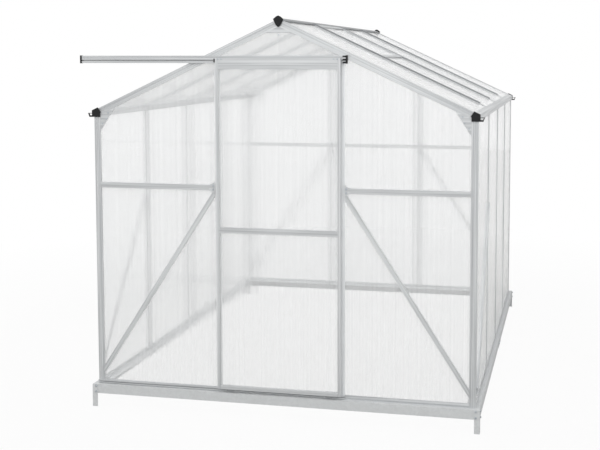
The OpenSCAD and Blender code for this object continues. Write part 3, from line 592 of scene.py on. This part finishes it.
def cover_roof_bars():
    """Cover strips on the outer faces of the roof bars, which end short of the ridge and the gutters."""
    tree = row_tree()
    # The cover strips take the darker grey of painted shade
    finish = mill_aluminium("painted_shade_aluminium", *ROOF_PAINTED_SHADE, RUNS["slope"])
    slope = RUNS["slope"]
    for side in (-1, 1):
        name = "right_roof_bars" if side > 0 else "left_roof_bars"
        points = [Vector((side * v.co.x, v.co.y, v.co.z)) for v in NODES[name].data.vertices]
        base = max(point.dot(ROOF_OUT) for point in points)
        outer = [point for point in points if base - point.dot(ROOF_OUT) < FACE_TOL]
        middles = bar_middles([point.y for point in outer])
        start = min(point.dot(slope) for point in outer) + COVER_FROM_RIDGE
        end = max(point.dot(slope) for point in outer) - COVER_FROM_GUTTER
        step = (middles[-1] - middles[0]) / (len(middles) - 1)
        piece = grown(f"{name}_covers", cover_strip(start, end, base), tree, {
            "Count": float(len(middles)), "Start": middles[0], "Step": step, "Finish": finish})
        piece.data.transform(Matrix((slope, BACK, ROOF_OUT)).transposed().to_4x4())
        if side < 0:
            piece.data.transform(Matrix.Diagonal((-1, 1, 1, 1)))
            piece.data.flip_normals()
        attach(piece, "house")


def bar_middles(places):
    """Middle of each bar along Y, from the places of the corners of all of them."""
    groups = []
    for place in sorted(places):
        if not groups or place - groups[-1][-1] > BARS_APART:
            groups.append([])
        groups[-1].append(place)
    return [(group[0] + group[-1]) / 2 for group in groups]


# Fluted sheets


def sheet_turn(mesh):
    """Turn from a sheet's own frame, across, through and along its flutes, to the house's."""
    through = largest_normal(mesh)
    along = (UP - through * through.z).normalized()
    return Matrix((through.cross(along), through, along)).transposed().to_4x4()


def fluted_sheets(node, body, tree, skin, flute):
    """Stand a fluted copy in the place of a node of plain sheets."""
    turn = sheet_turn(NODES[node].data)
    shape = bmesh.new()
    shape.from_mesh(NODES[node].data)
    bmesh.ops.remove_doubles(shape, verts=shape.verts, dist=MERGE_TOL)
    shape.transform(turn.inverted())
    mesh = bpy.data.meshes.new(node)
    shape.to_mesh(mesh)
    shape.free()
    piece = grown(f"fluted_{node}", mesh, tree, {
        "Flute pitch": FLUTE_PITCH, "Rib thickness": RIB_T, "Skin thickness": SKIN_T,
        "Skin": skin, "Flute": flute})
    piece.data.transform(turn)
    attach(piece, body)
    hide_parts(node)


def glaze():
    """Flute every sheet; across the flutes is X in the gables and the door, and Y elsewhere."""
    tree = flute_tree()
    across_x = twin_wall_polycarbonate("twin_wall_polycarbonate_x", RIGHT)
    across_y = twin_wall_polycarbonate("twin_wall_polycarbonate_y", BACK)
    flute = flute_polycarbonate("flute_polycarbonate")
    for node in ("front_sheets", "back_sheets"):
        fluted_sheets(node, "house", tree, across_x, flute)
    for node in ("left_sheets", "right_sheets", "left_roof_sheets", "right_roof_sheets",
                 "roof_window_sheet"):
        fluted_sheets(node, "house", tree, across_y, flute)
    fluted_sheets("door_sheets", "door", tree, across_x, flute)


# Fasteners


def bolts(name, body, tree, spots, head_w, head_h, finish):
    """Bolts of one size on one body; a spot is a point and the direction that the head faces."""
    mesh = bpy.data.meshes.new(name)
    mesh.from_pydata([point for point, axis in spots], [], [])
    axes = mesh.attributes.new("axis", "FLOAT_VECTOR", "POINT")
    axes.data.foreach_set("vector", [value for point, axis in spots for value in axis])
    piece = grown(name, mesh, tree, {
        "Head width": head_w, "Head height": head_h, "Washer width": head_w * WASHER_SHARE,
        "Washer thickness": WASHER_T, "Finish": finish})
    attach(piece, body)


def stake_spots():
    """Two bolts through each leg of the corner stakes into the base."""
    low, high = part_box("corner_stakes")
    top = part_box("base_front")[1].z
    spots = []
    for side in (-1, 1):
        for end in (-1, 1):
            x = low.x if side < 0 else high.x
            y = low.y if end < 0 else high.y
            for z in (top - STAKE_BOLT_TOP, top - STAKE_BOLT_TOP - STAKE_BOLT_STEP):
                spots.append(((x - side * STAKE_BOLT_IN, y, z), BACK * end))
                spots.append(((x, y - end * STAKE_BOLT_IN, z), RIGHT * side))
    return spots


def splice_spots():
    """Two bolts through each splice plate of the base."""
    low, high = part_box("base_splices")
    z = (low.z + high.z) / 2
    return [((x, y, z), RIGHT * side) for side, x in ((-1, low.x), (1, high.x))
            for y in (low.y + SPLICE_BOLT_IN, high.y - SPLICE_BOLT_IN)]


def bracket_spots():
    """Two bolts through each bracket at the mid rails' inner ends."""
    low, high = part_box("rail_brackets")
    z = (low.z + high.z) / 2
    inner = DOOR_POST_X + BRACKET_BOLT_IN
    return [((side * inner, y, z + row * BRACKET_BOLT_STEP / 2), BACK * end)
            for side in (-1, 1) for end, y in ((-1, low.y), (1, high.y)) for row in (-1, 1)]


def gusset_spots():
    """Bolts near the legs and the long edge of the eave gussets, and one through each ridge gusset."""
    low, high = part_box("gussets")
    rafter = RUNS["slope"]
    leg = EAVE_GUSSET
    corner_z = low.z + leg
    spots = []
    for end, y in ((-1, low.y), (1, high.y)):
        for side in (-1, 1):
            corner = Vector((high.x, y, corner_z))
            up_slope = Vector((-rafter.x, 0, -rafter.z))
            middle = corner + (up_slope - UP) * leg * GUSSET_MIDDLE
            for spot in (corner + up_slope * leg * GUSSET_BOLT_ALONG - UP * GUSSET_BOLT_IN,
                         corner - UP * leg * GUSSET_BOLT_ALONG - RIGHT * GUSSET_BOLT_IN, middle):
                spots.append(((side * spot.x, spot.y, spot.z), BACK * end))
        spots.append(((0, y, high.z - RIDGE_BOLT_DOWN), BACK * end))
    return spots


def hanger_spots():
    """Two screws through the door's top rail into each hanger."""
    low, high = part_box("door_rails")
    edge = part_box("door_stiles")[1].x
    z = high.z - HANGER_SCREW_DOWN
    return [((side * (edge - HANGER_SCREW_IN - row * HANGER_SCREW_STEP), low.y, z), -BACK)
            for side in (-1, 1) for row in (0, 1)]


def fasten():
    """Bolts and screws of the house and the door."""
    tree = bolt_tree()
    zinc = zinc_plated_steel("zinc_plated_steel")
    for name, spots in (("stake_bolts", stake_spots()), ("splice_bolts", splice_spots()),
                        ("bracket_bolts", bracket_spots())):
        bolts(name, "house", tree, spots, BOLT_HEAD_W, BOLT_HEAD_H, zinc)
    bolts("gusset_bolts", "house", tree, gusset_spots(), SCREW_HEAD_W, SCREW_HEAD_H, zinc)
    bolts("hanger_screws", "door", tree, hanger_spots(), SCREW_HEAD_W, SCREW_HEAD_H, zinc)


# Studio


def white_share(tree, seen, in_gloss, behind_sheets):
    """How white the background is to a ray: from the camera, in gloss and through clear pieces; else 0."""
    path = add(tree, "ShaderNodeLightPath").outputs
    shares = [add(tree, "ShaderNodeMath", {0: path[ray], 1: share}, operation="MULTIPLY").outputs[0]
              for ray, share in (("Is Camera Ray", seen), ("Is Glossy Ray", in_gloss),
                                 ("Is Transmission Ray", behind_sheets))]
    either = add(tree, "ShaderNodeMath", {0: shares[0], 1: shares[1]}, operation="MAXIMUM")
    return add(tree, "ShaderNodeMath", {0: either.outputs[0], 1: shares[2]}, operation="MAXIMUM").outputs[0]


def white_floor():
    """Pale floor that turns white where the background shows, and keeps the shadow near the house."""
    material, tree = new_material("studio_floor")
    place = add(tree, "ShaderNodeTexCoord").outputs["Object"]
    distance = add(tree, "ShaderNodeVectorMath", {0: place}, operation="LENGTH").outputs["Value"]
    near = white_share(tree, FLOOR_WHITE_SEEN, FLOOR_WHITE_IN_GLOSS, FLOOR_WHITE_BEHIND_SHEETS)
    far = white_share(tree, 1.0, FAR_FLOOR_WHITE_IN_GLOSS, 1.0)
    share = add(tree, "ShaderNodeMapRange", {
        "Value": distance, "From Min": FLOOR_FADE[0], "From Max": FLOOR_FADE[1],
        "To Min": near, "To Max": far})
    matt = add(tree, "ShaderNodeBsdfDiffuse", {"Color": linear(FLOOR_PALE)})
    white = add(tree, "ShaderNodeEmission", {"Color": linear("#FFFFFF"), "Strength": 1.0})
    surface(tree, add(tree, "ShaderNodeMixShader", {
        0: share.outputs[0], 1: matt.outputs[0], 2: white.outputs[0]}))
    disc = bmesh.new()
    bmesh.ops.create_circle(disc, cap_ends=True, segments=FLOOR_SIDES, radius=FLOOR_RADIUS)
    mesh = bpy.data.meshes.new("studio_floor")
    disc.to_mesh(mesh)
    disc.free()
    floor = bpy.data.objects.new("studio_floor", mesh)
    bpy.context.scene.collection.objects.link(floor)
    mesh.materials.append(material)


def sky():
    """White world: plain soft light on the house, and white where it is seen."""
    world = bpy.data.worlds.new("studio")
    bpy.context.scene.world = world
    world.use_nodes = True
    tree = world.node_tree
    tree.nodes.clear()
    strength = add(tree, "ShaderNodeMapRange", {
        "Value": white_share(tree, 1.0, SKY_WHITE_IN_GLOSS, 1.0), "To Min": SKY_STRENGTH, "To Max": 1.0})
    glow = add(tree, "ShaderNodeBackground", {"Color": linear("#FFFFFF"), "Strength": strength.outputs[0]})
    add(tree, "ShaderNodeOutputWorld", {"Surface": glow.outputs[0]})


def softbox(name, place, target, size, watts):
    """Soft lamp that shines in the metal but is never seen itself."""
    lamp = bpy.data.lights.new(name, "AREA")
    lamp.shape = "RECTANGLE"
    lamp.size, lamp.size_y = size
    lamp.energy = watts
    box = bpy.data.objects.new(name, lamp)
    box.location = place
    box.rotation_euler = (Vector(target) - Vector(place)).to_track_quat("-Z", "Y").to_euler()
    box.visible_camera = False
    box.visible_transmission = False
    bpy.context.scene.collection.objects.link(box)


def camera():
    """Camera at the photograph's place; the shift brings the middle of its view to the photograph's."""
    lens = bpy.data.cameras.new("camera")
    lens.sensor_fit = "HORIZONTAL"
    lens.sensor_width = SENSOR_MM
    lens.lens = FOCAL_PX * SENSOR_MM / PHOTO_W
    lens.shift_x = (PHOTO_W / 2 - MIDDLE_X_PX) / PHOTO_W
    lens.shift_y = (MIDDLE_Y_PX - PHOTO_H / 2) / PHOTO_W
    eye = bpy.data.objects.new("camera", lens)
    eye.location = CAMERA_AT
    eye.rotation_euler = (math.pi / 2 - CAMERA_PITCH, 0, -CAMERA_YAW)
    bpy.context.scene.collection.objects.link(eye)
    bpy.context.scene.camera = eye


dress_frame()
glaze()
cover_roof_bars()
fasten()
white_floor()
sky()
softbox("key_softbox", KEY_AT, KEY_AIM, KEY_SIZE, KEY_WATTS)
softbox("left_softbox", LEFT_AT, LEFT_AIM, LEFT_SIZE, LEFT_WATTS)
camera()
scene = bpy.context.scene
scene.view_settings.view_transform = "Standard"
scene.cycles.transparent_max_bounces = CLEAR_LAYERS
